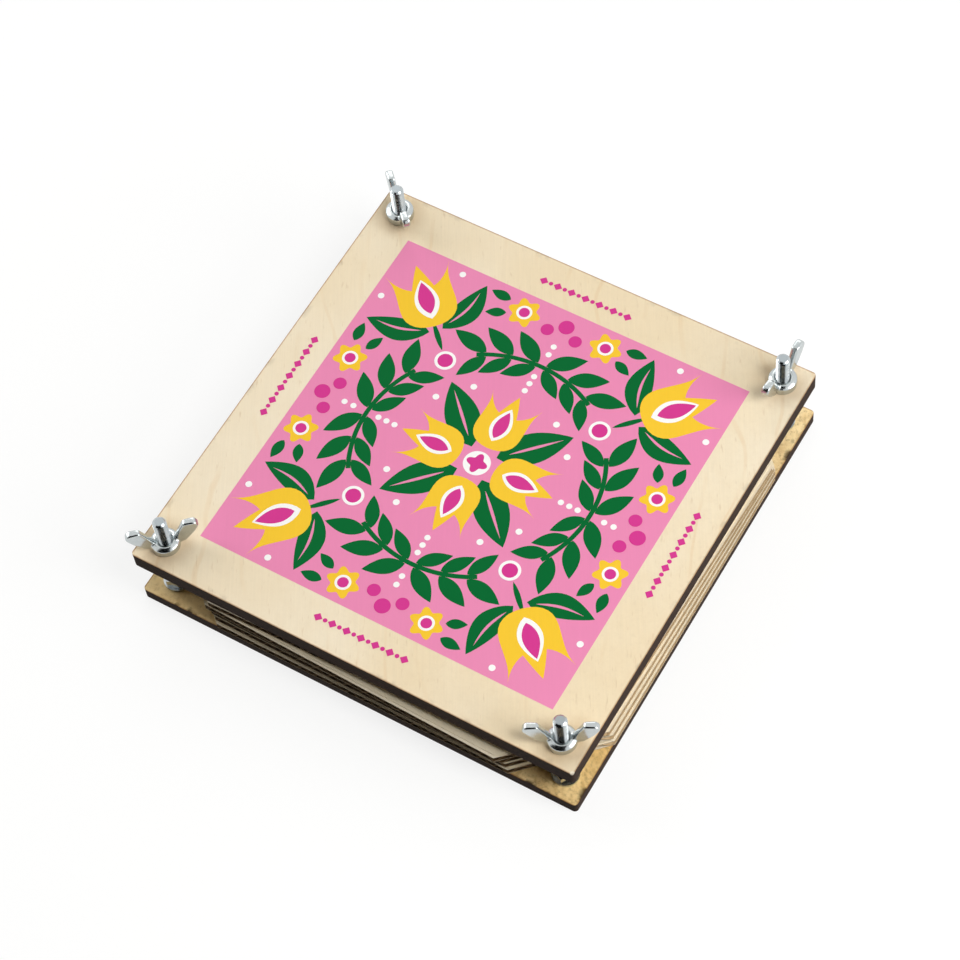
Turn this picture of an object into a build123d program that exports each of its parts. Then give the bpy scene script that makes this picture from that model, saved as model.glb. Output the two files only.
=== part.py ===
"""A square flower press: two plywood boards, four bolts with wing nuts, and a stack of corrugated
cardboard and blotting paper between them. Millimetres, +Z up, origin at the centre of the underside.
The corners are called left (-X -Y), front (+X -Y), right (+X +Y) and back (-X +Y)."""

from build123d import *

import os
from math import sqrt

# Boards of laser-cut birch plywood, the upper one thicker
board_side = 175.0
board_corner = 1.5
bottom_thick = 5.0
top_thick = 7.0
bolt_inset = 9.0

# M5 countersunk bolts that stand up through the bottom board
bolt_dia = 5.0
bolt_length = 46.0
bolt_end_chamfer = 0.85
head_dia = 9.3
head_rim = 0.4
head_sunk = 0.2
seat_clear = 0.05
drive_span = 4.6
drive_width = 1.1
drive_depth = 1.6
drive_taper = 12.0
top_hole_clear = 0.4

# Washer and hex nut that lock each bolt to the bottom board
washer_dia = 10.0
washer_thick = 1.0
washer_clear = 0.15
lock_nut_flats = 8.0
lock_nut_high = 4.0
lock_nut_crown = 0.55
lock_nut_turns = {"left": 12.0, "front": 41.0, "right": 25.0, "back": 3.0}

# Wing nuts: a coned hub and two wings that rise outwards and thicken towards their tips.
# From the hub outwards a wing's outline passes its keel, bilge, tip, shoulder and brow, each set
# out as a share of the wing's reach.
thread_clear = 0.05
hub_dia = 10.4
hub_rim = 3.2
hub_cone = 1.4
hub_high = 4.2
hub_round = 0.5
hub_bore_chamfer = 0.4
wing_span = 26.0
wing_high = 12.4
wing_neck_low = 0.4
wing_neck_high = 3.2
wing_keel_share = 0.44
wing_keel_z = 2.0
wing_bilge_share = 0.78
wing_bilge_drop = 6.2
wing_tip_drop = 2.2
wing_shoulder_share = 0.88
wing_brow_share = 0.46
wing_root_thick = 2.3
wing_tip_thick = 3.0
wing_sweep = 1.5
wing_corner = 1.2
wing_round = 0.6
wing_turns = {"left": 42.7, "front": 29.2, "right": 86.3, "back": -43.2}

# Corrugated cardboard: two liners with a waved medium between them
card_thick = 3.0
liner = 0.3
medium = 0.4
flute_pitch = 6.5
flute_crest = 1.0
sheet_margin = 5.0

# Blotting paper, two sheets between each two cardboards
paper_thick = 0.4
paper_margin = 6.0

# How each leaf of the stack lies, from the bottom up: shift in X and Y, and turn about Z in degrees
sheet_slip = 2.9
corner_clear = 0.45
card_places = [
    (sheet_slip, -sheet_slip, 0.0),
    (2.6, -2.4, -0.3),
    (2.3, -2.8, -0.7),
    (2.0, -4.2, -1.4),
    (0.0, -1.6, 1.3),
]
lower_paper_places = [(2.4, -2.7, 0.2), (2.2, -2.2, -0.5), (1.9, -2.9, -0.9), (1.6, -3.9, -1.2)]
upper_paper_places = [(2.8, -2.5, -0.1), (2.5, -2.7, -0.4), (2.1, -3.4, -1.2), (0.3, -1.9, 1.0)]

# Places that follow from the sizes
bolt_at = board_side / 2 - bolt_inset
bolt_r = bolt_dia / 2
corners = {
    "left": (-bolt_at, -bolt_at),
    "front": (bolt_at, -bolt_at),
    "right": (bolt_at, bolt_at),
    "back": (-bolt_at, bolt_at),
}
card_count = len(card_places)
stack_high = card_count * card_thick + 2 * (card_count - 1) * paper_thick
top_under = bottom_thick + stack_high
top_face = top_under + top_thick
head_neck = head_sunk + head_rim + (head_dia - bolt_dia) / 2
bolt_end = head_sunk + bolt_length
thread_r = bolt_r + thread_clear
# The sheets' corners are cut back far enough for a slipped sheet to pass the washers
corner_stand_off = washer_dia / 2 + sqrt(2) * sheet_slip + corner_clear

os.makedirs("parts", exist_ok=True)


def keep(piece, name):
    """Names a finished piece and writes it to its own file."""
    piece.label = name
    export_step(piece, f"parts/{name}.step")


def corner_cut(side):
    """Leg of the 45 degree cut that keeps a centred sheet of this side clear of the bolts."""
    return side - sqrt(2) * (sqrt(2) * bolt_at - corner_stand_off)


def lying(place, height):
    """Where a sheet lies in the stack: its shift and turn, at its underside's height."""
    return Location((place[0], place[1], height), (0, 0, place[2]))


# The seat of a bolt in the bottom board: shank hole and 90 degree countersink, open at both faces
with BuildPart() as bolt_seat:
    with BuildSketch(Plane.XZ):
        with BuildLine():
            Polyline(
                (0, 0),
                (head_dia / 2 + seat_clear, 0),
                (head_dia / 2 + seat_clear, head_sunk + head_rim),
                (bolt_r + seat_clear, head_neck),
                (bolt_r + seat_clear, bottom_thick),
                (0, bottom_thick),
                close=True,
            )
        make_face()
    revolve(axis=Axis.Z)

# Bottom board
with BuildPart() as bottom_board:
    with BuildSketch():
        RectangleRounded(board_side, board_side, board_corner)
    extrude(amount=bottom_thick)
    with GridLocations(2 * bolt_at, 2 * bolt_at, 2, 2):
        add(bolt_seat.part, mode=Mode.SUBTRACT)
keep(bottom_board.part, "bottom_board")

# Top board, free to slide up the bolts
with BuildPart() as top_board:
    with BuildSketch(Plane.XY.offset(top_under)):
        RectangleRounded(board_side, board_side, board_corner)
        with GridLocations(2 * bolt_at, 2 * bolt_at, 2, 2):
            Circle(bolt_r + top_hole_clear, mode=Mode.SUBTRACT)
    extrude(amount=top_thick)
keep(top_board.part, "top_board")

# Bolt: countersunk head with a cross drive, plain shank, chamfered end
with BuildPart() as bolt:
    with BuildSketch(Plane.XZ):
        with BuildLine():
            Polyline(
                (0, head_sunk),
                (head_dia / 2, head_sunk),
                (head_dia / 2, head_sunk + head_rim),
                (bolt_r, head_neck),
                (bolt_r, bolt_end - bolt_end_chamfer),
                (bolt_r - bolt_end_chamfer, bolt_end),
                (0, bolt_end),
                close=True,
            )
        make_face()
    revolve(axis=Axis.Z)
    with BuildSketch(Plane.XY.offset(head_sunk)):
        Rectangle(drive_span, drive_width)
        Rectangle(drive_width, drive_span)
    extrude(amount=drive_depth, taper=drive_taper, mode=Mode.SUBTRACT)

# Flat washer
with BuildPart() as washer:
    with BuildSketch(Plane.XY.offset(bottom_thick)):
        Circle(washer_dia / 2)
        Circle(bolt_r + washer_clear, mode=Mode.SUBTRACT)
    extrude(amount=washer_thick)

# Hex nut with crowned corners above and below
lock_nut_low = bottom_thick + washer_thick
lock_nut_corner = lock_nut_flats / sqrt(3)
with BuildPart() as lock_nut:
    with BuildSketch(Plane.XY.offset(lock_nut_low)):
        RegularPolygon(lock_nut_flats / 2, 6, major_radius=False)
        Circle(thread_r, mode=Mode.SUBTRACT)
    extrude(amount=lock_nut_high)
    with BuildSketch(Plane.XZ):
        with BuildLine():
            Polyline(
                (0, lock_nut_low),
                (lock_nut_flats / 2, lock_nut_low),
                (lock_nut_corner, lock_nut_low + lock_nut_crown),
                (lock_nut_corner, lock_nut_low + lock_nut_high - lock_nut_crown),
                (lock_nut_flats / 2, lock_nut_low + lock_nut_high),
                (0, lock_nut_low + lock_nut_high),
                close=True,
            )
        make_face()
    revolve(axis=Axis.Z, mode=Mode.INTERSECT)

# One wing: its outline from the side, then thinned to its plan, which widens towards the tip.
# It starts inside the hub, just outside the bore's countersink.
tip_x = wing_span / 2
root_x = thread_r + hub_bore_chamfer
wing_reach = tip_x - root_x
brow_at = (root_x + wing_brow_share * wing_reach, wing_high)
with BuildPart() as wing:
    with BuildSketch(Plane.XZ) as wing_side:
        with BuildLine():
            Polyline(
                (root_x, wing_neck_low),
                (root_x + wing_keel_share * wing_reach, wing_keel_z),
                (root_x + wing_bilge_share * wing_reach, wing_high - wing_bilge_drop),
                (tip_x, wing_high - wing_tip_drop),
                (root_x + wing_shoulder_share * wing_reach, wing_high),
                brow_at,
                (root_x, wing_neck_high),
                close=True,
            )
        make_face()
        root = wing_side.vertices().group_by(Axis.X)[0]
        brow = wing_side.vertices().sort_by_distance(brow_at)[:1]
        fillet(wing_side.vertices() - root - brow, radius=wing_sweep)
        fillet(wing_side.vertices().sort_by_distance(brow_at)[0], radius=wing_corner)
    extrude(amount=wing_tip_thick, both=True)
    with BuildSketch():
        with BuildLine():
            Polyline(
                (root_x, -wing_root_thick / 2),
                (tip_x, -wing_tip_thick / 2),
                (tip_x, wing_tip_thick / 2),
                (root_x, wing_root_thick / 2),
                close=True,
            )
        make_face()
    extrude(amount=wing_high, mode=Mode.INTERSECT)
    flanks = wing.faces().sort_by(SortBy.AREA)[-2:]
    root_edges = flanks.edges().group_by(Axis.X)[0]
    fillet(flanks.edges() - root_edges, radius=wing_round)

# Wing nut: the coned hub, both wings, and the threaded bore
with BuildPart() as wing_nut:
    with BuildSketch(Plane.XZ):
        with BuildLine():
            Polyline(
                (0, 0),
                (hub_dia / 2, 0),
                (hub_dia / 2, hub_rim),
                (hub_dia / 2 - hub_cone, hub_high),
                (0, hub_high),
                close=True,
            )
        make_face()
    revolve(axis=Axis.Z)
    fillet(wing_nut.edges().filter_by(GeomType.CIRCLE).sort_by(Axis.Z)[1:], radius=hub_round)
    add(wing.part)
    add(wing.part.rotate(Axis.Z, 180))
    with Locations((0, 0, hub_high)):
        CounterSinkHole(thread_r, thread_r + hub_bore_chamfer)

for corner, (x, y) in corners.items():
    keep(bolt.part.moved(Location((x, y, 0))), f"bolt_{corner}")
    keep(washer.part.moved(Location((x, y, 0))), f"washer_{corner}")
    keep(lock_nut.part.moved(Location((x, y, 0), (0, 0, lock_nut_turns[corner]))), f"lock_nut_{corner}")
    keep(wing_nut.part.moved(Location((x, y, top_face), (0, 0, wing_turns[corner]))), f"wing_nut_{corner}")

# Corrugated cardboard sheet: cut-off corners, and flutes along Y that open at both ends.
# Each flute is a channel under the waved medium, with its twin above it half a pitch along.
card_side = board_side - sheet_margin
flute_foot = flute_crest + medium
flute_high = card_thick - 2 * liner - medium
flute_count = round(card_side / flute_pitch)
with BuildPart() as card:
    with BuildSketch() as card_outline:
        Rectangle(card_side, card_side)
        chamfer(card_outline.vertices(), length=corner_cut(card_side))
    extrude(amount=card_thick)
    with BuildSketch(Plane.XZ):
        with BuildSketch(mode=Mode.PRIVATE) as flute:
            with BuildLine():
                Polyline(
                    (-(flute_pitch - flute_foot) / 2, 0),
                    ((flute_pitch - flute_foot) / 2, 0),
                    (flute_crest / 2, flute_high),
                    (-flute_crest / 2, flute_high),
                    close=True,
                )
            make_face()
        with Locations((0, liner)):
            with GridLocations(flute_pitch, 0, flute_count, 1):
                add(flute.sketch)
        with Locations((0, card_thick - liner)):
            with GridLocations(flute_pitch, 0, flute_count + 1, 1):
                add(flute.sketch, rotation=180)
    extrude(amount=card_side, both=True, mode=Mode.SUBTRACT)

# Blotting paper with the same cut-off corners
paper_side = board_side - paper_margin
with BuildPart() as paper:
    with BuildSketch() as paper_outline:
        Rectangle(paper_side, paper_side)
        chamfer(paper_outline.vertices(), length=corner_cut(paper_side))
    extrude(amount=paper_thick)

# The stack, from the bottom board upwards
height = bottom_thick
for number, place in enumerate(card_places, start=1):
    keep(card.part.moved(lying(place, height)), f"card_{number}")
    height += card_thick
    if number < card_count:
        keep(paper.part.moved(lying(lower_paper_places[number - 1], height)), f"blotter_{number}_lower")
        height += paper_thick
        keep(paper.part.moved(lying(upper_paper_places[number - 1], height)), f"blotter_{number}_upper")
        height += paper_thick
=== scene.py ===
"""A square flower press in its finishes: plywood boards, threaded bolts with wing nuts, and a stack of
corrugated cardboard and blotting paper. Metres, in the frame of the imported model, +Z up."""

import math

import bmesh
import bpy
from mathutils import Matrix, Vector
from mathutils.geometry import interpolate_bezier


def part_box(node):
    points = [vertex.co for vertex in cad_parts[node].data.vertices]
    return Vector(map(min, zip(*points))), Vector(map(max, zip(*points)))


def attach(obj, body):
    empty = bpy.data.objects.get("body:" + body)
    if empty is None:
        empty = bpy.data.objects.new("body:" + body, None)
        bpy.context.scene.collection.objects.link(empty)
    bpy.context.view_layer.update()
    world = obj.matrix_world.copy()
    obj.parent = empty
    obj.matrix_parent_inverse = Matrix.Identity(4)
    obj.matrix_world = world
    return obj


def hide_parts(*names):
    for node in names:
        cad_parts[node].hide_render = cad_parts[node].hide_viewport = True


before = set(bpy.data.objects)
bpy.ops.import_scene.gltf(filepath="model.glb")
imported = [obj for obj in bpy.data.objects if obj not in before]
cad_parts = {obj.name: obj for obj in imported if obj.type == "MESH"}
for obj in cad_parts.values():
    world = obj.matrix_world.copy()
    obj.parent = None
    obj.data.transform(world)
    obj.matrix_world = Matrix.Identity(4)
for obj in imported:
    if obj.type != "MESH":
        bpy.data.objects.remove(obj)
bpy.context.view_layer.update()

# Bottom board
# A square of birch plywood cut out by a laser, so its edges are charred and smoke has tinted its face.
# It lies on the table and carries the four bolts, which come up through countersunk holes.

MM = 0.001
bolt_low, bolt_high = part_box("bolt_right")
bolt_out = (bolt_low.x + bolt_high.x) / 2 / MM


def linear(hex_colour):
    """An sRGB hex colour as linear red, green, blue and alpha."""
    parts = [int(hex_colour[i:i + 2], 16) / 255 for i in (1, 3, 5)]
    return [c / 12.92 if c <= 0.04045 else ((c + 0.055) / 1.055) ** 2.4 for c in parts] + [1.0]


def put(tree, kind, inputs=None, **settings):
    """Adds a node with its settings; its inputs, by name or number, are values, nodes or sockets."""
    made = tree.nodes.new(kind)
    for name, value in settings.items():
        setattr(made, name, value)
    for key, value in (inputs or {}).items():
        by_name = [s for s in made.inputs if s.name == key and s.enabled]
        socket = by_name[0] if by_name else made.inputs[key]
        if isinstance(value, bpy.types.Node):
            value = next(s for s in value.outputs if s.enabled)
        if isinstance(value, bpy.types.NodeSocket):
            tree.links.new(value, socket)
        else:
            socket.default_value = value
    return made


def begin_finish(name):
    """A new material with its tree emptied, and its texture place in millimetres of the press."""
    finish = bpy.data.materials.new(name)
    finish.use_nodes = True
    tree = finish.node_tree
    tree.nodes.clear()
    place = put(tree, "ShaderNodeTexCoord")
    at = put(tree, "ShaderNodeVectorMath", {0: place.outputs["Object"], "Scale": 1 / MM},
             operation="SCALE")
    return finish, tree, at


def dress(piece, finish):
    """Gives a piece its one finish."""
    piece.data.materials.clear()
    piece.data.materials.append(finish)


# Birch plywood: sanded rotary-cut veneer without varnish. Its fibres run askew, faint growth rings wander
# along them, and the laser leaves a brown rim on the face and an edge charred over its plies.
grain_askew = math.radians(30)
fibre_size = (0.5, 15, 0.5)


def birch_plywood(name, node, plies, face, warm, ring, ring_share, smoke, smoke_share, specks,
                  rim, rim_uneven, soot, painted_nut_shade, chip):
    low, high = (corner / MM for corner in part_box(node))
    finish, tree, at = begin_finish(name)
    split = put(tree, "ShaderNodeSeparateXYZ", {0: at})
    away_x = put(tree, "ShaderNodeMath", {0: split.outputs[0]}, operation="ABSOLUTE")
    away_y = put(tree, "ShaderNodeMath", {0: split.outputs[1]}, operation="ABSOLUTE")

    # Fibres 15 mm long, drawn half a millimetre wide so that they show, with darker flecks of 1 by 5 mm
    askew = (0, 0, grain_askew)
    fleck_size = (1, 5, 4)
    fibre_place = put(tree, "ShaderNodeMapping", {"Vector": at, "Rotation": askew, "Scale": fibre_size},
                      vector_type="TEXTURE")
    fibre = put(tree, "ShaderNodeTexNoise", {"Vector": fibre_place, "Scale": 1.0, "Detail": 4.0})
    fleck_place = put(tree, "ShaderNodeMapping", {"Vector": at, "Rotation": askew, "Scale": fleck_size},
                      vector_type="TEXTURE")
    fleck_noise = put(tree, "ShaderNodeTexNoise", {"Vector": fleck_place, "Scale": 1.0, "Detail": 1.0})
    fleck = put(tree, "ShaderNodeMapRange",
                {"Value": fleck_noise, "From Min": 0.68, "From Max": 0.84, "To Max": 0.28})

    # Growth rings about 13 mm apart, which wander by up to 36 mm over 55 mm, and fade in and out
    ring_apart = 13.0
    ring_wander = 36.0
    wander_size = 55.0
    fade_size = 24.0
    across_grain = (math.cos(grain_askew), math.sin(grain_askew), 0)
    wander = put(tree, "ShaderNodeTexNoise", {"Vector": at, "Scale": 1 / wander_size, "Detail": 1.5})
    ring_place = put(tree, "ShaderNodeVectorMath", {0: at, 1: across_grain}, operation="DOT_PRODUCT")
    ring_at = put(tree, "ShaderNodeMath", {0: wander, 1: ring_wander, 2: ring_place},
                  operation="MULTIPLY_ADD")
    ring_turn = put(tree, "ShaderNodeMath", {0: ring_at, 1: 2 * math.pi / ring_apart},
                    operation="MULTIPLY")
    ring_wave = put(tree, "ShaderNodeMath", {0: ring_turn}, operation="SINE")
    ring_line = put(tree, "ShaderNodeMapRange", {"Value": ring_wave, "From Min": 0.9, "From Max": 1.0},
                    interpolation_type="SMOOTHSTEP")
    ring_fade = put(tree, "ShaderNodeTexNoise", {"Vector": at, "Scale": 1 / fade_size, "Detail": 2.0})
    ring_seen = put(tree, "ShaderNodeMapRange",
                    {"Value": ring_fade, "From Min": 0.42, "From Max": 0.66, "To Max": ring_share})
    ring_factor = put(tree, "ShaderNodeMath", {0: ring_line, 1: ring_seen}, operation="MULTIPLY")

    # The veneer warms and pales in broad patches, 60 mm across
    tone_size = 60.0
    tone = put(tree, "ShaderNodeTexNoise", {"Vector": at, "Scale": 1 / tone_size, "Detail": 2.0})
    tone_share = put(tree, "ShaderNodeMapRange", {"Value": tone, "From Min": 0.35, "From Max": 0.65})
    colour = put(tree, "ShaderNodeMix", {"Factor": tone_share, "A": linear(face), "B": linear(warm)},
                 data_type="RGBA")
    colour = put(tree, "ShaderNodeMix", {"Factor": ring_factor, "A": colour, "B": linear(ring)},
                 data_type="RGBA")
    colour = put(tree, "ShaderNodeMix", {"Factor": fleck, "A": colour, "B": linear("#B9935F")},
                 data_type="RGBA")
    fibre_light = put(tree, "ShaderNodeMapRange",
                      {"Value": fibre, "From Min": 0.25, "From Max": 0.75,
                       "To Min": 0.972, "To Max": 1.02})
    colour = put(tree, "ShaderNodeVectorMath", {0: colour, "Scale": fibre_light}, operation="SCALE")

    # Smoke in ragged clouds some 5 mm across, which drifted to the front and right of the board
    smoke_size = 5.0
    to_front = put(tree, "ShaderNodeVectorMath", {0: at, 1: (1, -0.3, 0)}, operation="DOT_PRODUCT")
    drift = put(tree, "ShaderNodeMapRange",
                {"Value": to_front, "From Min": -0.7 * bolt_out, "From Max": 1.3 * bolt_out,
                 "To Min": 0.45})
    smoke_noise = put(tree, "ShaderNodeTexNoise",
                      {"Vector": at, "Scale": 1 / smoke_size, "Detail": 8.0, "Roughness": 0.68})
    smoke_factor = put(tree, "ShaderNodeMapRange",
                       {"Value": smoke_noise, "From Min": 0.44, "From Max": 0.68, "To Max": smoke_share})
    smoke_factor = put(tree, "ShaderNodeMath", {0: smoke_factor, 1: drift}, operation="MULTIPLY")
    colour = put(tree, "ShaderNodeMix", {"Factor": smoke_factor, "A": colour, "B": linear(smoke)},
                 data_type="RGBA")

    # Specks of soot and resin of uneven size, in groups under 2 mm across
    speck_size = 1.8
    speck_noise = put(tree, "ShaderNodeTexNoise",
                      {"Vector": at, "Scale": 1 / speck_size, "Detail": 7.0, "Roughness": 0.75})
    speck_factor = put(tree, "ShaderNodeMapRange",
                       {"Value": speck_noise, "From Min": 0.50, "From Max": 0.72, "To Max": specks})
    speck_factor = put(tree, "ShaderNodeMath", {0: speck_factor, 1: drift}, operation="MULTIPLY")
    colour = put(tree, "ShaderNodeMix", {"Factor": speck_factor, "A": colour, "B": linear("#7A5428")},
                 data_type="RGBA")

    # The browned rim along the outline and round the holes, of uneven width, and smudges of soot by it
    hole_r = 2.9
    uneven_size = 3.0
    smudge_size = 6.0
    smudge_reach = 2.4
    outline_at = put(tree, "ShaderNodeMath", {0: away_x, 1: away_y}, operation="MAXIMUM")
    inside = put(tree, "ShaderNodeMath", {0: high.x, 1: outline_at}, operation="SUBTRACT")
    hole_place = put(tree, "ShaderNodeCombineXYZ", {0: away_x, 1: away_y})
    to_hole = put(tree, "ShaderNodeVectorMath", {0: hole_place, 1: (bolt_out, bolt_out, 0)},
                  operation="DISTANCE")
    from_hole = put(tree, "ShaderNodeMath", {0: to_hole, 1: hole_r}, operation="SUBTRACT")
    nearest = put(tree, "ShaderNodeMath", {0: inside, 1: from_hole}, operation="MINIMUM")
    uneven = put(tree, "ShaderNodeTexNoise", {"Vector": at, "Scale": 1 / uneven_size, "Detail": 4.0})
    uneven_at = put(tree, "ShaderNodeMath", {0: uneven, 1: 0.5}, operation="SUBTRACT")
    rim_at = put(tree, "ShaderNodeMath", {0: uneven_at, 1: rim_uneven, 2: nearest},
                 operation="MULTIPLY_ADD")
    rim_factor = put(tree, "ShaderNodeMapRange",
                     {"Value": rim_at, "From Min": 0.0, "From Max": rim, "To Min": 0.8, "To Max": 0.0},
                     interpolation_type="SMOOTHSTEP")
    colour = put(tree, "ShaderNodeMix", {"Factor": rim_factor, "A": colour, "B": linear("#A06A36")},
                 data_type="RGBA")
    smudge_noise = put(tree, "ShaderNodeTexNoise",
                       {"Vector": at, "Scale": 1 / smudge_size, "Detail": 5.0})
    smudge = put(tree, "ShaderNodeMapRange", {"Value": smudge_noise, "From Min": 0.56, "From Max": 0.66})
    near_rim = put(tree, "ShaderNodeMapRange",
                   {"Value": nearest, "From Min": 0.3, "From Max": smudge_reach,
                    "To Min": soot, "To Max": 0.0})
    soot_factor = put(tree, "ShaderNodeMath", {0: smudge, 1: near_rim}, operation="MULTIPLY")
    colour = put(tree, "ShaderNodeMix", {"Factor": soot_factor, "A": colour, "B": linear("#2A1B12")},
                 data_type="RGBA")

    # Painted shade round the holes, standing in for the wing nuts' soft shadows, some 13 mm from their
    # centres
    stain_and_shade_size = 8.0
    nut_shade_uneven = 7.0
    nut_shade_noise = put(tree, "ShaderNodeTexNoise", {"Vector": at, "Scale": 1 / stain_and_shade_size, "Detail": 3.0})
    nut_shade_at = put(tree, "ShaderNodeMath", {0: nut_shade_noise, 1: nut_shade_uneven, 2: to_hole},
                   operation="MULTIPLY_ADD")
    stain_and_shade = put(tree, "ShaderNodeMapRange",
                {"Value": nut_shade_at, "From Min": 6.5, "From Max": 16.5, "To Min": painted_nut_shade, "To Max": 0.0},
                interpolation_type="SMOOTHSTEP")
    colour = put(tree, "ShaderNodeMix", {"Factor": stain_and_shade, "A": colour, "B": linear("#A87F4C")},
                 data_type="RGBA")

    # The charred edge in streaks of 1.3 by 0.6 mm, with the darker glue lines between the plies
    streak_size = (1.3, 1.3, 0.6)
    ply = (high.z - low.z) / plies
    ply_at = put(tree, "ShaderNodeMath", {0: split.outputs[2], 1: low.z}, operation="SUBTRACT")
    ply_count = put(tree, "ShaderNodeMath", {0: ply_at, 1: ply}, operation="DIVIDE")
    glue_at = put(tree, "ShaderNodeMath", {0: ply_count, 1: 0.5}, operation="PINGPONG")
    glue = put(tree, "ShaderNodeMapRange",
               {"Value": glue_at, "From Min": 0.03, "From Max": 0.14, "To Min": 0.8, "To Max": 0.0})
    edge_place = put(tree, "ShaderNodeMapping", {"Vector": at, "Scale": streak_size},
                     vector_type="TEXTURE")
    edge_noise = put(tree, "ShaderNodeTexNoise", {"Vector": edge_place, "Scale": 1.0, "Detail": 4.0})
    edge_share = put(tree, "ShaderNodeMapRange", {"Value": edge_noise, "From Min": 0.3, "From Max": 0.72})
    edge_colour = put(tree, "ShaderNodeMix",
                      {"Factor": edge_share, "A": linear("#1D130E"), "B": linear("#463327")},
                      data_type="RGBA")
    edge_colour = put(tree, "ShaderNodeMix", {"Factor": glue, "A": edge_colour, "B": linear("#15100E")},
                      data_type="RGBA")
    side = put(tree, "ShaderNodeTexCoord")
    facing = put(tree, "ShaderNodeSeparateXYZ", {0: side.outputs["Normal"]})
    facing_up = put(tree, "ShaderNodeMath", {0: facing.outputs[2]}, operation="ABSOLUTE")
    is_face = put(tree, "ShaderNodeMath", {0: facing_up, 1: 0.5}, operation="GREATER_THAN")
    colour = put(tree, "ShaderNodeMix", {"Factor": is_face, "A": edge_colour, "B": colour},
                 data_type="RGBA")

    # A splinter of about 1 mm knocked off the front corner has bared the wood under the char
    chip_middle = (high.x - 0.45, low.y + 0.45, high.z - 0.3)
    chip_uneven = 1.2
    to_chip = put(tree, "ShaderNodeVectorMath", {0: at, 1: chip_middle}, operation="DISTANCE")
    chip_at = put(tree, "ShaderNodeMath", {0: uneven, 1: chip_uneven, 2: to_chip},
                  operation="MULTIPLY_ADD")
    chipped = put(tree, "ShaderNodeMapRange",
                  {"Value": chip_at, "From Min": 1.4, "From Max": 1.6, "To Min": chip, "To Max": 0.0})
    colour = put(tree, "ShaderNodeMix", {"Factor": chipped, "A": colour, "B": linear("#F3E8D2")},
                 data_type="RGBA")

    rough = put(tree, "ShaderNodeMapRange", {"Value": is_face, "To Min": 0.85, "To Max": 0.6})
    relief = put(tree, "ShaderNodeBump", {"Strength": 0.3, "Distance": 0.03 * MM, "Height": fibre})
    wood = put(tree, "ShaderNodeBsdfPrincipled",
               {"Base Color": colour, "Roughness": rough, "Normal": relief, "Specular IOR Level": 0.2})
    put(tree, "ShaderNodeOutputMaterial", {"Surface": wood})
    return finish


smoked_plywood = birch_plywood(
    "birch_plywood_smoked", "bottom_board", plies=3, face="#FFE8B4", warm="#F6D18A", ring="#C4944C",
    ring_share=0.45, smoke="#BA8E48", smoke_share=0.55, specks=0.75, rim=0.6, rim_uneven=0.5, soot=0.9,
    painted_nut_shade=0.0, chip=0.0)
dress(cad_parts["bottom_board"], smoked_plywood)

# Bolts
# Four M5 machine screws of zinc-plated steel, threaded up to their countersunk heads.
# The heads sit in the underside of the bottom board, and the rods stand up through the corners.

corners = {"left": (-1, -1), "front": (1, -1), "right": (1, 1), "back": (-1, 1)}
pitch = 0.8 * MM
crest = 2.46 * MM
root = 2.05 * MM
head_top = 2.75 * MM
rod_overlap = 0.3 * MM
end_chamfer = 0.85 * MM
end_skin = 0.08 * MM
weld = 0.001 * MM
thread_sharp = math.radians(12)


# Zinc-plated steel: a bright, slightly bluish plating on drawn steel. It mirrors the room a little
# blurred, with cloudy patches where the plating took unevenly.
def zinc_plated_steel():
    finish, tree, at = begin_finish("zinc_plated_steel")
    cloud_size = 2.2
    cloud = put(tree, "ShaderNodeTexNoise", {"Vector": at, "Scale": 1 / cloud_size, "Detail": 3.0})
    colour = put(tree, "ShaderNodeMix",
                 {"Factor": cloud, "A": linear("#AEB7BC"), "B": linear("#D3D7D7")}, data_type="RGBA")
    rough = put(tree, "ShaderNodeMapRange",
                {"Value": cloud, "From Min": 0.3, "From Max": 0.7, "To Min": 0.12, "To Max": 0.22})

    # The grain of the plating is finer than a hair, and is drawn 0.35 mm wide so that it shows
    grit_size = 0.35
    grit = put(tree, "ShaderNodeTexNoise", {"Vector": at, "Scale": 1 / grit_size, "Detail": 2.0})
    relief = put(tree, "ShaderNodeBump", {"Strength": 0.05, "Distance": 0.02 * MM, "Height": grit})

    # The rods were sheared to length after plating, so their ends are duller and darker
    split = put(tree, "ShaderNodeSeparateXYZ", {0: at})
    at_end = put(tree, "ShaderNodeMath", {0: split.outputs[2], 1: (bolt_high.z - end_skin) / MM},
                 operation="GREATER_THAN")
    colour = put(tree, "ShaderNodeMix", {"Factor": at_end, "A": colour, "B": linear("#A2A9AC")},
                 data_type="RGBA")
    rough = put(tree, "ShaderNodeMix", {"Factor": at_end, "A": rough, "B": 0.42}, data_type="FLOAT")
    plating = put(tree, "ShaderNodeBsdfPrincipled",
                  {"Base Color": colour, "Metallic": 1.0, "Roughness": rough, "Normal": relief})
    put(tree, "ShaderNodeOutputMaterial", {"Surface": plating})
    return finish


def add_piece(name, form, finish, body, smooth=False):
    """Makes a piece of a bmesh, in its finish, riding on its body."""
    mesh = bpy.data.meshes.new(name)
    form.to_mesh(mesh)
    form.free()
    mesh.polygons.foreach_set("use_smooth", [smooth and abs(p.normal.z) < 0.95 for p in mesh.polygons])
    piece = bpy.data.objects.new(name, mesh)
    bpy.context.collection.objects.link(piece)
    dress(piece, finish)
    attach(piece, body)
    return piece


def cut_level(form, height, keep_below):
    """Cuts a closed form at a height, keeps one side of it and closes the cut."""
    every = form.verts[:] + form.edges[:] + form.faces[:]
    bmesh.ops.bisect_plane(form, geom=every, plane_co=(0, 0, height), plane_no=(0, 0, 1),
                           clear_outer=keep_below, clear_inner=not keep_below)
    rims = [edge for edge in form.edges if edge.is_boundary]
    bmesh.ops.holes_fill(form, edges=rims, sides=0)


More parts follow.
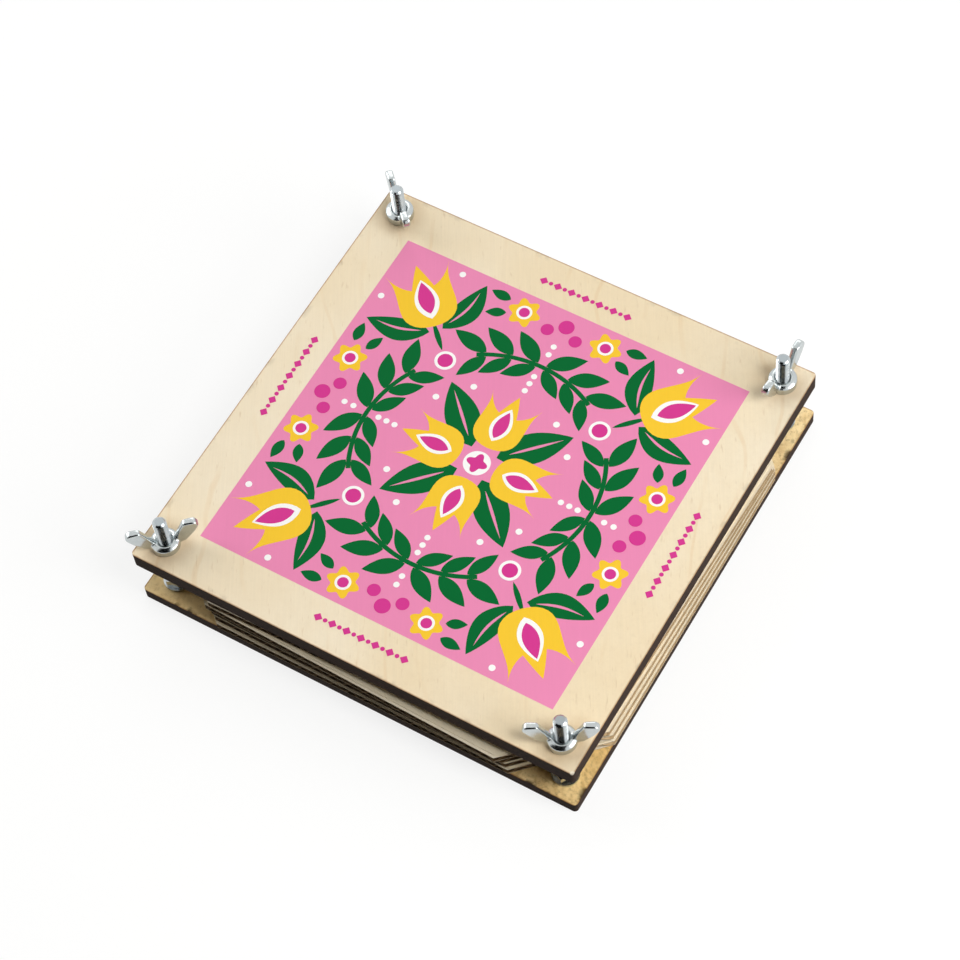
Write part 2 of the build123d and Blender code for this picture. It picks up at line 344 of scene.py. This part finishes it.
def threaded_rod(form, x, y, low, high, chamfer):
    """Winds a single-start thread round an axis: root, rising flank, crest and falling flank."""
    profile = [(0.0, root), (0.2 * MM, root), (0.45 * MM, crest), (0.55 * MM, crest)]
    around = 40
    count = math.ceil((high - low) / pitch + 3) * around
    rows = []
    for i in range(count):
        angle = 2 * math.pi * i / around
        row = []
        for rise, radius in profile:
            z = low - 1.5 * pitch + pitch * i / around + rise
            radius = min(radius, max(crest - chamfer + high - z, root / 2))
            row.append(form.verts.new((x + radius * math.cos(angle), y + radius * math.sin(angle), z)))
        rows.append(row)
    for i in range(count - 1):
        above = [rows[j][0] if j < count else None for j in (i + around, i + 1 + around)]
        for k in range(4):
            upper = (rows[i][k + 1], rows[i + 1][k + 1]) if k < 3 else above
            if None not in upper:
                form.faces.new((rows[i][k], rows[i + 1][k], upper[1], upper[0]))
    cut_level(form, low, keep_below=False)
    cut_level(form, high, keep_below=True)


zinc = zinc_plated_steel()
for corner in corners:
    bolt_low, bolt_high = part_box("bolt_" + corner)
    middle = (bolt_low + bolt_high) / 2
    rod = bmesh.new()
    threaded_rod(rod, middle.x, middle.y, head_top - rod_overlap, bolt_high.z, end_chamfer)
    head = bmesh.new()
    head.from_mesh(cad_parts["bolt_" + corner].data)
    bmesh.ops.remove_doubles(head, verts=head.verts, dist=weld)
    cut_level(head, head_top, keep_below=True)
    head_mesh = bpy.data.meshes.new("bolt_head")
    head.to_mesh(head_mesh)
    head.free()
    rod.from_mesh(head_mesh)
    bpy.data.meshes.remove(head_mesh)
    bolt = add_piece("threaded_bolt_" + corner, rod, zinc, "base", smooth=True)
    bolt.data.set_sharp_from_angle(angle=thread_sharp)
    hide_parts("bolt_" + corner)

# Washers and lock nuts
# A flat washer and a hex nut on each bolt clamp the bottom board, so that the bolts can't turn with the
# wing nuts. Both are stamped and plated like the bolts.

for corner in corners:
    dress(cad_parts["washer_" + corner], zinc)
    dress(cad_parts["lock_nut_" + corner], zinc)

# Corrugated cards
# Five sheets of single-wall board with cut-off corners: a wavy medium glued between two paper liners.
# They lie loose on the bolts' square, and the open flutes on two sides let air into the stack.

card_low, card_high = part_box("card_1")
card_from = card_low.z / MM
card_thick = (card_high.z - card_low.z) / MM
card_step = (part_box("card_2")[0].z - card_low.z) / MM
liner_thick = 0.3
flute_pitch = 6.5
open_flute = 8.0
gap_shade_deep = 0.18


# Corrugated cardboard: pale testliner outside and browner recycled medium inside, with short paper
# fibres and specks. The face has a soft stripe of painted shade over each glued flute, for its ripple.
def corrugated_card():
    finish, tree, at = begin_finish("corrugated_card")
    split = put(tree, "ShaderNodeSeparateXYZ", {0: at})
    lift = put(tree, "ShaderNodeMath", {0: split.outputs[2], 1: card_from}, operation="SUBTRACT")
    level = put(tree, "ShaderNodeMath", {0: lift, 1: card_step}, operation="FLOORED_MODULO")
    from_middle = put(tree, "ShaderNodeMath", {0: level, 1: card_thick / 2}, operation="SUBTRACT")
    off_middle = put(tree, "ShaderNodeMath", {0: from_middle}, operation="ABSOLUTE")
    in_liner = put(tree, "ShaderNodeMath", {0: off_middle, 1: card_thick / 2 - liner_thick - 0.02},
                   operation="GREATER_THAN")

    # Paper fibres 2.5 mm long, drawn 0.6 mm wide so that they show
    pulp_size = (0.6, 2.5, 0.6)
    stain_and_shade_size = 18.0
    pulp_place = put(tree, "ShaderNodeMapping", {"Vector": at, "Scale": pulp_size},
                     vector_type="TEXTURE")
    pulp = put(tree, "ShaderNodeTexNoise", {"Vector": pulp_place, "Scale": 1.0, "Detail": 4.0})
    stain_and_shade = put(tree, "ShaderNodeTexNoise", {"Vector": at, "Scale": 1 / stain_and_shade_size, "Detail": 2.0})
    liner = put(tree, "ShaderNodeMix", {"Factor": pulp, "A": linear("#E2D3B6"), "B": linear("#F6ECD8")},
                data_type="RGBA")
    medium = put(tree, "ShaderNodeMix", {"Factor": pulp, "A": linear("#665034"), "B": linear("#8C6E48")},
                 data_type="RGBA")
    side = put(tree, "ShaderNodeTexCoord")
    facing = put(tree, "ShaderNodeVectorMath", {0: side.outputs["Normal"]}, operation="ABSOLUTE")
    facing = put(tree, "ShaderNodeSeparateXYZ", {0: facing})

    # Along the other two sides the cut leaves the last flute open; its wall is painted paler tan, as
    # painted light
    away_x = put(tree, "ShaderNodeMath", {0: split.outputs[0]}, operation="ABSOLUTE")
    at_side = put(tree, "ShaderNodeMath", {0: away_x, 1: card_high.x / MM - open_flute},
                  operation="GREATER_THAN")
    painted_lit_tan = put(tree, "ShaderNodeMix", {"Factor": pulp, "A": linear("#9C7E56"), "B": linear("#D6BE98")},
              data_type="RGBA")
    medium = put(tree, "ShaderNodeMix", {"Factor": at_side, "A": medium, "B": painted_lit_tan}, data_type="RGBA")
    colour = put(tree, "ShaderNodeMix", {"Factor": in_liner, "A": medium, "B": liner}, data_type="RGBA")

    # A dark line 0.18 mm deep is painted at the faces of the cut edges, as painted shade between the
    # sheets
    painted_gap_shade = put(tree, "ShaderNodeMath", {0: off_middle, 1: card_thick / 2 - gap_shade_deep},
                  operation="GREATER_THAN")
    upright = put(tree, "ShaderNodeMath", {0: facing.outputs[2], 1: 0.5}, operation="LESS_THAN")
    painted_gap_shade = put(tree, "ShaderNodeMath", {0: painted_gap_shade, 1: upright}, operation="MULTIPLY")
    colour = put(tree, "ShaderNodeMix", {"Factor": painted_gap_shade, "A": colour, "B": linear("#8C7656")},
                 data_type="RGBA")

    # Inside the flutes the brown medium is painted darker, as painted shade where little light gets in
    along_flute = put(tree, "ShaderNodeMath", {0: facing.outputs[1], 1: 0.7}, operation="LESS_THAN")
    off_side = put(tree, "ShaderNodeMath", {0: 1.0, 1: at_side}, operation="SUBTRACT")
    between = put(tree, "ShaderNodeMath", {0: off_middle, 1: card_thick / 2 - 0.5 * liner_thick},
                  operation="LESS_THAN")
    inside = put(tree, "ShaderNodeMath", {0: along_flute, 1: off_side}, operation="MULTIPLY")
    inside = put(tree, "ShaderNodeMath", {0: inside, 1: between}, operation="MULTIPLY")
    colour = put(tree, "ShaderNodeMix", {"Factor": inside, "A": colour, "B": linear("#5A452C")},
                 data_type="RGBA")

    # Painted shade in a soft stripe over each glued flute, for the liner's ripple, and a faint stain here
    # and there
    flute_turn = put(tree, "ShaderNodeMath", {0: split.outputs[0], 1: 2 * math.pi / flute_pitch},
                     operation="MULTIPLY")
    flute_wave = put(tree, "ShaderNodeMath", {0: flute_turn}, operation="SINE")
    painted_ripple_shade = put(tree, "ShaderNodeMapRange",
                 {"Value": flute_wave, "From Min": -1.0, "From Max": 1.0, "To Min": 0.97, "To Max": 1.02})
    shade = put(tree, "ShaderNodeMapRange",
                {"Value": stain_and_shade, "From Min": 0.3, "From Max": 0.7, "To Min": 0.94, "To Max": 1.03})
    light = put(tree, "ShaderNodeMath", {0: painted_ripple_shade, 1: shade}, operation="MULTIPLY")
    colour = put(tree, "ShaderNodeVectorMath", {0: colour, "Scale": light}, operation="SCALE")
    relief = put(tree, "ShaderNodeBump", {"Strength": 0.4, "Distance": 0.04 * MM, "Height": pulp})
    board = put(tree, "ShaderNodeBsdfPrincipled",
                {"Base Color": colour, "Roughness": 0.88, "Normal": relief, "Specular IOR Level": 0.25})
    put(tree, "ShaderNodeOutputMaterial", {"Surface": board})
    return finish


card_finish = corrugated_card()
for i in range(1, 6):
    dress(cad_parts["card_%d" % i], card_finish)

# Blotting papers
# Four pairs of thick, unsized paper, cut to the cards' outline, one pair between each two cards.
# The flowers go between the two papers of a pair.


# Blotting paper: soft unsized cotton pulp. It is matt cream with fine fuzz and no gloss at all.
def blotting_paper():
    finish, tree, at = begin_finish("blotting_paper")

    # Real fuzz is finer, and is drawn 0.8 mm wide so that it shows
    fuzz_size = 0.8
    cloud_size = 9.0
    fuzz = put(tree, "ShaderNodeTexNoise", {"Vector": at, "Scale": 1 / fuzz_size, "Detail": 4.0})
    cloud = put(tree, "ShaderNodeTexNoise", {"Vector": at, "Scale": 1 / cloud_size, "Detail": 2.0})
    colour = put(tree, "ShaderNodeMix", {"Factor": cloud, "A": linear("#EADBBA"), "B": linear("#F5EAD0")},
                 data_type="RGBA")
    light = put(tree, "ShaderNodeMapRange",
                {"Value": fuzz, "From Min": 0.3, "From Max": 0.7, "To Min": 0.95, "To Max": 1.02})
    colour = put(tree, "ShaderNodeVectorMath", {0: colour, "Scale": light}, operation="SCALE")
    relief = put(tree, "ShaderNodeBump", {"Strength": 0.35, "Distance": 0.04 * MM, "Height": fuzz})
    paper = put(tree, "ShaderNodeBsdfPrincipled",
                {"Base Color": colour, "Roughness": 0.95, "Normal": relief, "Specular IOR Level": 0.15})
    put(tree, "ShaderNodeOutputMaterial", {"Surface": paper})
    return finish


paper_finish = blotting_paper()
for i in range(1, 5):
    dress(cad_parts["blotter_%d_lower" % i], paper_finish)
    dress(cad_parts["blotter_%d_upper" % i], paper_finish)

# Top board
# A thicker square of the same plywood, sanded clean on top. Four clear holes let it slide on the bolts,
# and the wing nuts press it down on the stack.

# The top board takes painted shade round its holes, standing in for the wing nuts' shadows
clean_plywood = birch_plywood(
    "birch_plywood_sanded", "top_board", plies=5, face="#F4E6CB", warm="#EFDCB9", ring="#E2C090",
    ring_share=0.3, smoke="#DDC298", smoke_share=0.15, specks=0.06, rim=0.65, rim_uneven=0.3, soot=0.2,
    painted_nut_shade=0.42, chip=0.9)
dress(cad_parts["top_board"], clean_plywood)

# Print
# A tile of folk flowers on the sanded top, screen-printed in flat inks on a rose ground 140 mm square,
# with a row of lozenges in the bare margin on each side.

board_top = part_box("top_board")[1].z
ground_half = 70.0
row_out = 77.5
mark_apart = 5.7


# Screen ink: opaque acrylic paint, pulled flat through a mesh. It is even and nearly matt, and the
# wood's fibres just show through it as fine streaks.
def screen_ink(name, hex_colour):
    finish, tree, at = begin_finish("screen_ink_" + name)
    askew = (0, 0, grain_askew)
    fibre_place = put(tree, "ShaderNodeMapping", {"Vector": at, "Rotation": askew, "Scale": fibre_size},
                      vector_type="TEXTURE")
    fibre = put(tree, "ShaderNodeTexNoise", {"Vector": fibre_place, "Scale": 1.0, "Detail": 4.0})
    light = put(tree, "ShaderNodeMapRange",
                {"Value": fibre, "From Min": 0.25, "From Max": 0.75, "To Min": 0.985, "To Max": 1.012})
    colour = put(tree, "ShaderNodeVectorMath", {0: linear(hex_colour)[:3], "Scale": light},
                 operation="SCALE")
    rough = put(tree, "ShaderNodeMapRange",
                {"Value": fibre, "From Min": 0.25, "From Max": 0.75, "To Min": 0.58, "To Max": 0.68})
    relief = put(tree, "ShaderNodeBump", {"Strength": 0.15, "Distance": 0.03 * MM, "Height": fibre})
    ink = put(tree, "ShaderNodeBsdfPrincipled",
              {"Base Color": colour, "Roughness": rough, "Normal": relief, "Specular IOR Level": 0.08})
    put(tree, "ShaderNodeOutputMaterial", {"Surface": ink})
    return finish


def leaf(length, width, bow=0.0):
    """The outline of a pointed leaf along +X, its rib bowed sideways."""
    steps = 14
    sides = []
    for side in (1, -1):
        way = range(steps + 1) if side > 0 else range(steps - 1, 0, -1)
        for i in way:
            t = i / steps
            half = width / 2 * math.sin(math.pi * t ** 0.85) ** 0.9
            sides.append((length * t, bow * math.sin(math.pi * t) + side * half))
    return sides[::-1]


def disc(radius, lobes=0, depth=0.0):
    """The outline of a dot, or of a flower with round lobes."""
    points = 48
    turns = [2 * math.pi * i / points for i in range(points)]
    return [((radius + depth * math.cos(lobes * a)) * math.cos(a),
             (radius + depth * math.cos(lobes * a)) * math.sin(a)) for a in turns]


def tulip(size):
    """The outline of a tulip head along +X with three points."""
    knots = [(0.0, 0.0), (0.36, 0.40), (1.0, 0.46), (0.66, 0.16), (1.06, 0.0)]
    pulls = [((0.0, 0.26), (0.14, 0.40)), ((0.62, 0.40), (0.80, 0.36)),
             ((0.86, 0.40), (0.72, 0.30)), ((0.78, 0.12), (0.94, 0.06))]
    per_curve = 8
    half = []
    for i in range(len(pulls)):
        ends = [Vector((*p, 0)) for p in (knots[i], pulls[i][0], pulls[i][1], knots[i + 1])]
        half += [(p.x * size, p.y * size) for p in interpolate_bezier(*ends, per_curve)[:-1]]
    tip = knots[-1][0] * size
    return [(x, -y) for x, y in half] + [(tip, 0.0)] + half[:0:-1]


def lozenge(length, width):
    """The outline of a diamond."""
    return [(length / 2, 0), (0, width / 2), (-length / 2, 0), (0, -width / 2)]


def bent_stem(radius, width, degrees):
    """The outline of a stem that follows an arc round the tile's centre, its middle on +Y."""
    steps = 24
    turns = [math.radians(90 + degrees * (i / steps - 0.5)) for i in range(steps + 1)]
    outer = [((radius + width / 2) * math.cos(a), (radius + width / 2) * math.sin(a)) for a in turns]
    inner = [((radius - width / 2) * math.cos(a), (radius - width / 2) * math.sin(a)) for a in turns]
    return outer + inner[::-1]


def laid(outline, x, y, degrees=0.0):
    """An outline turned, then moved to its place."""
    a = math.radians(degrees)
    return [(x + px * math.cos(a) - py * math.sin(a), y + px * math.sin(a) + py * math.cos(a))
            for px, py in outline]


def fourfold(outlines, mirror=False):
    """Outlines repeated round the tile's centre, with their mirror images where they have one."""
    if mirror:
        outlines = outlines + [[(-x, y) for x, y in outline[::-1]] for outline in outlines]
    return [laid(outline, 0, 0, 90 * k) for outline in outlines for k in range(4)]


def print_ink(name, finish, outlines, sunk, proud):
    """Lays a film of ink on the board, each outline a thin closed prism."""
    form = bmesh.new()
    for outline in outlines:
        base = [form.verts.new((x * MM, y * MM, board_top - sunk * MM)) for x, y in outline]
        top = [form.verts.new((x * MM, y * MM, board_top + proud * MM)) for x, y in outline]
        form.faces.new(top)
        form.faces.new(base[::-1])
        for i in range(len(outline)):
            j = (i + 1) % len(outline)
            form.faces.new((base[i], base[j], top[j], top[i]))
    bmesh.ops.recalc_face_normals(form, faces=form.faces)
    return add_piece(name, form, finish, "lid")


ground = [[(-ground_half, -ground_half), (ground_half, -ground_half),
           (ground_half, ground_half), (-ground_half, ground_half)]]

ring_r = 45.0
stems = fourfold([bent_stem(ring_r, 1.7, 61.0), laid(leaf(14.0, 2.0), 34.6, 34.6, 45)])
greens = fourfold([laid(leaf(28.0, 12.4), 5.0, 5.0, 45)])
greens += fourfold([laid(leaf(24.0, 9.6, -1.8), 42.6, 39.2, -12), laid(leaf(8.2, 4.0), 23.6, 64.8, 4),
                    laid(leaf(7.6, 3.8), 22.4, 59.2, -24)], mirror=True)
for along in (2.0, 14.0, 26.0):
    east, north = math.sin(math.radians(along)), math.cos(math.radians(along))
    outer = laid(leaf(15.0, 6.2), (ring_r + 1) * east, (ring_r + 1) * north, 38 - along)
    inner = laid(leaf(13.0, 5.2), (ring_r - 1) * east, (ring_r - 1) * north, -38 - along)
    greens += fourfold([outer, inner], mirror=True)
yellows = fourfold([laid(tulip(22.0), 7.0, 0), laid(tulip(26.0), 42.2, 42.2, 45)])
yellows += fourfold([laid(disc(5.3, 6, 1.0), 16.6, 62.2)], mirror=True)
ribs = fourfold([laid(leaf(20.0, 1.1), 8.2, 8.2, 45)])
ribs += fourfold([laid(leaf(17.0, 1.0, -1.2), 45.6, 38.4, -12)], mirror=True)
whites = fourfold([laid(leaf(14.5, 7.4), 10.2, 0), laid(leaf(17.5, 8.8), 44.6, 44.6, 45),
                   laid(disc(3.9), 31.4, 31.4)])
whites += fourfold([laid(disc(1.1), 0, out) for out in (33.6, 36.9, 40.2, 50.6, 54.3)])
whites += fourfold([laid(disc(2.9), 16.6, 62.2), laid(disc(1.2), 16.8, 26.6),
                    laid(disc(1.2), 66.2, 44.6)], mirror=True)
whites += [disc(4.9)]
magentas = fourfold([laid(leaf(11.6, 4.8), 11.6, 0), laid(leaf(14.2, 5.8), 46.2, 46.2, 45),
                     laid(disc(2.8), 31.4, 31.4)])
magentas += fourfold([laid(disc(2.9), 0, 63.6)])
magentas += fourfold([laid(disc(2.4), 5.7, 59.7), laid(disc(2.0), 16.6, 62.2)], mirror=True)
magentas += [disc(3.2, 4, 0.8)]
row = [laid(lozenge(3.4, 3.2), mark_apart * (i - 3), 0) for i in range(7)]
row += [laid(disc(0.8), mark_apart * (i - 2.5), 0) for i in range(6)]
magentas += fourfold([laid(mark, 0, row_out) for mark in row])

print_ink("print_ground", screen_ink("rose", "#EC8DB5"), ground, 0.02, 0.020)
green_ink = screen_ink("green", "#00662F")
print_ink("print_stems", green_ink, stems, 0.01, 0.030)
print_ink("print_leaves", green_ink, greens, 0.01, 0.035)
print_ink("print_tulips", screen_ink("yellow", "#F8C936"), yellows, 0.01, 0.045)
print_ink("print_ribs", screen_ink("rose_over", "#EC8DB5"), ribs, 0.01, 0.045)
print_ink("print_whites", screen_ink("white", "#FBFAF6"), whites, 0.01, 0.055)
print_ink("print_berries", screen_ink("magenta", "#D63C90"), magentas, 0.02, 0.065)

# Wing nuts
# Four cast wing nuts, tumbled smooth and plated: a hub on a round flange and two flat wings that blend
# into it. They run on the bolts' threads and press the top board down.


# Plated casting: tumbled before plating, so every edge is round. It is bright like the bolts, but its
# surface ripples a little and blurs what it mirrors.
def plated_casting():
    finish, tree, at = begin_finish("wing_nut_casting")
    cloud_size = 3.0
    ripple_size = 1.1
    cloud = put(tree, "ShaderNodeTexNoise", {"Vector": at, "Scale": 1 / cloud_size, "Detail": 3.0})
    colour = put(tree, "ShaderNodeMix",
                 {"Factor": cloud, "A": linear("#B0B8BB"), "B": linear("#D2D6D4")}, data_type="RGBA")
    rough = put(tree, "ShaderNodeMapRange",
                {"Value": cloud, "From Min": 0.3, "From Max": 0.7, "To Min": 0.15, "To Max": 0.25})
    ripple = put(tree, "ShaderNodeTexNoise", {"Vector": at, "Scale": 1 / ripple_size, "Detail": 3.0})
    relief = put(tree, "ShaderNodeBump", {"Strength": 0.2, "Distance": 0.06 * MM, "Height": ripple})
    plating = put(tree, "ShaderNodeBsdfPrincipled",
                  {"Base Color": colour, "Metallic": 1.0, "Roughness": rough, "Normal": relief})
    put(tree, "ShaderNodeOutputMaterial", {"Surface": plating})
    return finish


casting = plated_casting()
bore = 2.56 * MM
skin_fine = 0.2 * MM
tumble_passes = 32
for corner, (east, north) in corners.items():
    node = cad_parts["wing_nut_" + corner]
    rough_form = bmesh.new()
    rough_form.from_mesh(node.data)
    bmesh.ops.remove_doubles(rough_form, verts=rough_form.verts, dist=weld)
    cast = add_piece("cast_wing_nut_" + corner, rough_form, casting, "nut_" + corner)
    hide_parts("wing_nut_" + corner)
    skin = cast.modifiers.new("skin", "REMESH")
    skin.mode = "VOXEL"
    skin.voxel_size = skin_fine
    tumbled = cast.modifiers.new("tumbled", "SMOOTH")
    tumbled.factor = 0.5
    tumbled.iterations = tumble_passes
    bpy.context.view_layer.update()
    made = bpy.data.meshes.new_from_object(cast.evaluated_get(bpy.context.evaluated_depsgraph_get()))
    cast.modifiers.clear()
    cast.data = made
    axis_x = east * bolt_out * MM
    axis_y = north * bolt_out * MM
    for vertex in made.vertices:
        out = Vector((vertex.co.x - axis_x, vertex.co.y - axis_y))
        if out.length < bore:
            out *= bore / max(out.length, 1e-6)
            vertex.co.x = axis_x + out.x
            vertex.co.y = axis_y + out.y
    made.polygons.foreach_set("use_smooth", [True] * len(made.polygons))

# Studio
# A white table that keeps a soft shadow, softboxes round and above the press, and a pale room that is dim
# on the photographer's side. Two black cards there give the plated metal its dark bands.

scene = bpy.context.scene
scene.view_settings.view_transform = "Standard"
pure_white = linear("#FFFFFF")

# The table lies a hair below the press, so that no two faces share a plane
table_gap = 0.05 * MM
table_radius = 3.0
table_mesh = bpy.data.meshes.new("studio_table")
table_form = bmesh.new()
bmesh.ops.create_circle(table_form, cap_ends=True, segments=64, radius=table_radius)
table_form.to_mesh(table_mesh)
table_form.free()
table = bpy.data.objects.new("studio_table", table_mesh)
table.location.z = -table_gap
bpy.context.collection.objects.link(table)

# White paper sweep: matt, and plain white to the eye beyond the shadow. Its grain is drawn 1.5 mm wide,
# far coarser than real, so that it shows.
sweep_grain = 1.5
sweep, tree, at = begin_finish("white_paper_sweep")
rays = put(tree, "ShaderNodeLightPath")
seen = put(tree, "ShaderNodeMath",
           {0: rays.outputs["Is Camera Ray"], 1: rays.outputs["Is Glossy Ray"]}, operation="MAXIMUM")
seen = put(tree, "ShaderNodeMath", {0: seen, 1: rays.outputs["Is Transmission Ray"]}, operation="MAXIMUM")
out = put(tree, "ShaderNodeVectorMath", {0: at}, operation="LENGTH")
shadow_from = 170.0
shadow_to = 420.0
beyond = put(tree, "ShaderNodeMapRange", {"Value": out, "From Min": shadow_from, "From Max": shadow_to},
             interpolation_type="SMOOTHSTEP")
white_share = put(tree, "ShaderNodeMath", {0: seen, 1: beyond}, operation="MULTIPLY")
grain = put(tree, "ShaderNodeTexNoise", {"Vector": at, "Scale": 1 / sweep_grain, "Detail": 2.0})
paper_white = put(tree, "ShaderNodeMix",
                  {"Factor": grain, "A": linear("#7F7F7D"), "B": linear("#838381")}, data_type="RGBA")
matt = put(tree, "ShaderNodeBsdfDiffuse", {"Color": paper_white})
lift_share = put(tree, "ShaderNodeMath", {0: seen, 1: 0.80}, operation="MULTIPLY")
lift = put(tree, "ShaderNodeEmission", {"Color": pure_white, "Strength": lift_share})
near = put(tree, "ShaderNodeAddShader", {0: matt, 1: lift})
far = put(tree, "ShaderNodeEmission", {"Color": pure_white, "Strength": 1.0})
both = put(tree, "ShaderNodeMixShader", {0: white_share, 1: near, 2: far})
put(tree, "ShaderNodeOutputMaterial", {"Surface": both})
dress(table, sweep)

# The room's pale walls light the press, and to the eye and in the metal the room is plain white
room = bpy.data.worlds.new("studio_room")
room.use_nodes = True
scene.world = room
tree = room.node_tree
tree.nodes.clear()
place = put(tree, "ShaderNodeTexCoord")
room_up = put(tree, "ShaderNodeSeparateXYZ", {0: place.outputs["Generated"]})
wall = put(tree, "ShaderNodeMapRange",
           {"Value": room_up.outputs[2], "From Min": 0.42, "From Max": 0.72,
            "To Min": 0.50, "To Max": 0.36},
           interpolation_type="SMOOTHSTEP")
toward_front = put(tree, "ShaderNodeVectorMath", {0: place.outputs["Generated"], 1: (0.1, -0.995, 0.0)},
                   operation="DOT_PRODUCT")
dark_side = put(tree, "ShaderNodeMapRange",
                {"Value": toward_front, "From Min": -0.1, "From Max": 0.3, "To Min": 1.0, "To Max": 0.02},
                interpolation_type="SMOOTHSTEP")
room_light = put(tree, "ShaderNodeMath", {0: wall, 1: dark_side}, operation="MULTIPLY")
rays = put(tree, "ShaderNodeLightPath")
dim = put(tree, "ShaderNodeBackground", {"Color": pure_white, "Strength": room_light})
white = put(tree, "ShaderNodeBackground", {"Color": pure_white, "Strength": 1.0})
seen = put(tree, "ShaderNodeMath",
           {0: rays.outputs["Is Camera Ray"], 1: rays.outputs["Is Glossy Ray"]}, operation="MAXIMUM")
seen = put(tree, "ShaderNodeMath", {0: seen, 1: rays.outputs["Is Transmission Ray"]}, operation="MAXIMUM")
shown = put(tree, "ShaderNodeMixShader", {0: seen, 1: dim, 2: white})
put(tree, "ShaderNodeOutputWorld", {"Surface": shown})

# Black card: matt, and seen only in the metal. Its tooth is drawn 2 mm wide so that it shows.
card_tooth = 2.0
black_card, tree, at = begin_finish("black_card")
tooth = put(tree, "ShaderNodeTexNoise", {"Vector": at, "Scale": 1 / card_tooth, "Detail": 2.0})
card_black = put(tree, "ShaderNodeMix", {"Factor": tooth, "A": linear("#0E0F10"), "B": linear("#17191A")},
                 data_type="RGBA")
matt_black = put(tree, "ShaderNodeBsdfDiffuse", {"Color": card_black})
put(tree, "ShaderNodeOutputMaterial", {"Surface": matt_black})
for name, middle, facing, width, height in (
        ("black_card_low", (0.06, -0.36, 0.20), (-0.15, 0.99, 0.0), 0.56, 0.40),
        ("black_card_high", (0.16, -0.50, 0.95), (-0.147, 0.460, -0.875), 1.00, 0.60)):
    card_mesh = bpy.data.meshes.new(name)
    card_form = bmesh.new()
    bmesh.ops.create_grid(card_form, x_segments=1, y_segments=1, size=0.5)
    card_form.to_mesh(card_mesh)
    card_form.free()
    flag = bpy.data.objects.new(name, card_mesh)
    flag.scale = (width, height, 1)
    flag.rotation_euler = Vector(facing).to_track_quat("Z", "Y").to_euler()
    flag.location = middle
    flag.visible_camera = False
    flag.visible_diffuse = False
    flag.visible_shadow = False
    bpy.context.collection.objects.link(flag)
    dress(flag, black_card)

# The high softbox stays out of the metal, which shows the room and the others
press_middle = Vector((0, 0, 0.03))
for name, side, reach, width, height, watts in (
        ("softbox_right", (0.95, 0.10, 0.36), 0.95, 0.60, 0.60, 5.6),
        ("softbox_left", (-0.95, -0.02, 0.50), 0.95, 0.60, 0.70, 3.4),
        ("softbox_back", (-0.45, 0.85, 0.62), 1.10, 0.70, 0.70, 2.0),
        ("softbox_high", (0.70, -0.10, 1.10), 1.00, 0.36, 0.36, 4.1)):
    lamp = bpy.data.lights.new(name, "AREA")
    lamp.shape = "RECTANGLE"
    lamp.size = width
    lamp.size_y = height
    lamp.energy = watts
    softbox = bpy.data.objects.new(name, lamp)
    aim = Vector(side).normalized()
    softbox.location = press_middle + aim * reach
    softbox.rotation_euler = aim.to_track_quat("Z", "Y").to_euler()
    softbox.visible_glossy = name != "softbox_high"
    bpy.context.collection.objects.link(softbox)

# Camera
# It looks down on the front corner with a long lens, a little rolled, framed as 960 by 960.

azimuth = math.radians(37.15)
elevation = math.radians(58.99)
roll = math.radians(-7.96)
reach = 1.00608
picture_side = 960
back = Vector((math.sin(azimuth) * math.cos(elevation), -math.cos(azimuth) * math.cos(elevation),
               math.sin(elevation)))
level = Vector((math.cos(azimuth), math.sin(azimuth), 0))
upward = back.cross(level)
across = level * math.cos(roll) + upward * math.sin(roll)
upright = upward * math.cos(roll) - level * math.sin(roll)
turn = Matrix((across, upright, back)).transposed().to_4x4()
lens = bpy.data.cameras.new("camera")
lens.lens = 108.5
lens.sensor_width = 36.0
lens.shift_x = 3.2 / picture_side
lens.shift_y = -16.8 / picture_side
camera = bpy.data.objects.new("camera", lens)
camera.matrix_world = Matrix.Translation(Vector((0, 0, board_top)) + back * reach) @ turn
bpy.context.collection.objects.link(camera)
scene.camera = camera
